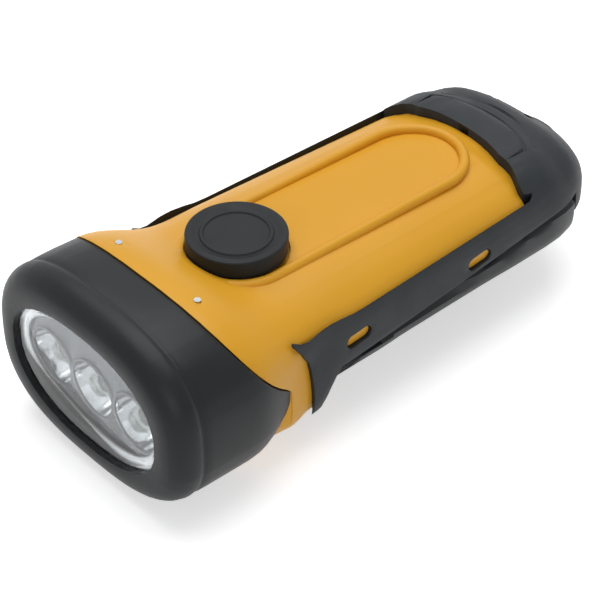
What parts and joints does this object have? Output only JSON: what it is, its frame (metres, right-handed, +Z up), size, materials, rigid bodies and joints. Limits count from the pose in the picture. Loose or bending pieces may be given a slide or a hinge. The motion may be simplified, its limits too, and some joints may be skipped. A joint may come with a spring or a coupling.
{
  "type": "hand crank flashlight",
  "caption": "Flat crank-charged torch with an oval three-lamp head, a round push button, a side bumper and a fold-out crank under the grip.",
  "frame": {"origin": "on the floor under the middle of the torch, which lies on its head and its folded crank arm", "axes": "+Z up through the button, +Y from the lens to the tail, so the beam leaves along -Y, +X across the grip"},
  "size_m": [0.058, 0.1264, 0.04],
  "materials": {
    "yellow_shell": "satin moulded ABS",
    "black_shell": "fine satin moulded ABS",
    "black_plastic": "satin",
    "black_rubber": "matte moulded rubber",
    "clear_window": "clear polycarbonate",
    "clear_lamp": "clear epoxy",
    "bright_reflector": "vacuum-metallised plastic",
    "circuit_board": "solder-masked glass-fibre board",
    "cell_steel": "nickel-plated",
    "screw_steel": "zinc-plated",
    "bush_brass": "turned",
    "white_gear": "natural acetal",
    "coil_wire": "enamelled copper",
    "magnet": "sintered ferrite"
  },
  "bodies": {
    "torch": {"head_shell": "black_shell", "lens_window": "clear_window", "lens_seal": "black_rubber", "reflector": "bright_reflector", "left_lamp": "clear_lamp", "middle_lamp": "clear_lamp", "right_lamp": "clear_lamp", "lamp_board": "circuit_board", "main_housing": "yellow_shell", "neck_pins": "black_plastic", "side_bumper": "black_rubber", "base_cover": "black_shell", "case_screws": "screw_steel", "button_seal": "black_rubber", "switch_body": "black_plastic", "control_board": "circuit_board", "board_screws": "screw_steel", "smoothing_capacitor": "black_plastic", "battery_cells": "cell_steel", "battery_cradle": "black_plastic", "battery_contacts": "cell_steel", "shaft_bush": "bush_brass", "idler_axle": "screw_steel", "gear_plate": "white_gear", "plate_screws": "screw_steel", "generator_stator": "screw_steel", "generator_coil": "coil_wire", "rotor_bridge": "white_gear"},
    "button": {"power_button": "black_rubber", "switch_plunger": "black_plastic"},
    "crank": {"crank_arm": "black_plastic", "hub_screw": "screw_steel", "crank_shaft": "screw_steel", "drive_gear": "white_gear", "knob_hinge_pin": "screw_steel"},
    "idler": {"idler_gear": "white_gear"},
    "rotor": {"rotor_pinion": "bush_brass", "rotor_shaft": "screw_steel", "generator_magnet": "magnet"},
    "knob_arm": {"knob_stalk": "screw_steel"},
    "knob": {"knob_grip": "black_plastic"}
  },
  "joints": [
    {"name": "button_press", "type": "slide", "parent": "torch", "child": "button", "axis": [0, 0, -1], "range_m": [0, 0.0015], "stiffness_N_per_m": 600, "springref_m": -0.0005},
    {"name": "crank_turn", "type": "hinge", "parent": "torch", "child": "crank", "pos_m": [0, 0.01175, 0.0094], "axis": [0, 0, 1], "continuous": true},
    {"name": "idler_turn", "type": "hinge", "parent": "torch", "child": "idler", "pos_m": [0.008, 0.02788, 0.016], "axis": [0, 0, 1], "continuous": true},
    {"name": "rotor_turn", "type": "hinge", "parent": "torch", "child": "rotor", "pos_m": [-0.0032, 0.02788, 0.02], "axis": [0, 0, 1], "continuous": true},
    {"name": "knob_fold", "type": "hinge", "parent": "crank", "child": "knob_arm", "pos_m": [0, 0.04175, 0.00455], "axis": [1, 0, 0], "range_deg": [0, 90]},
    {"name": "knob_spin", "type": "hinge", "parent": "knob_arm", "child": "knob", "pos_m": [0, 0.02875, 0.00455], "axis": [0, 1, 0], "continuous": true}
  ],
  "couplings": [
    {"joint": "idler_turn", "follows": "crank_turn", "ratio": -4},
    {"joint": "rotor_turn", "follows": "crank_turn", "ratio": 10}
  ]
}
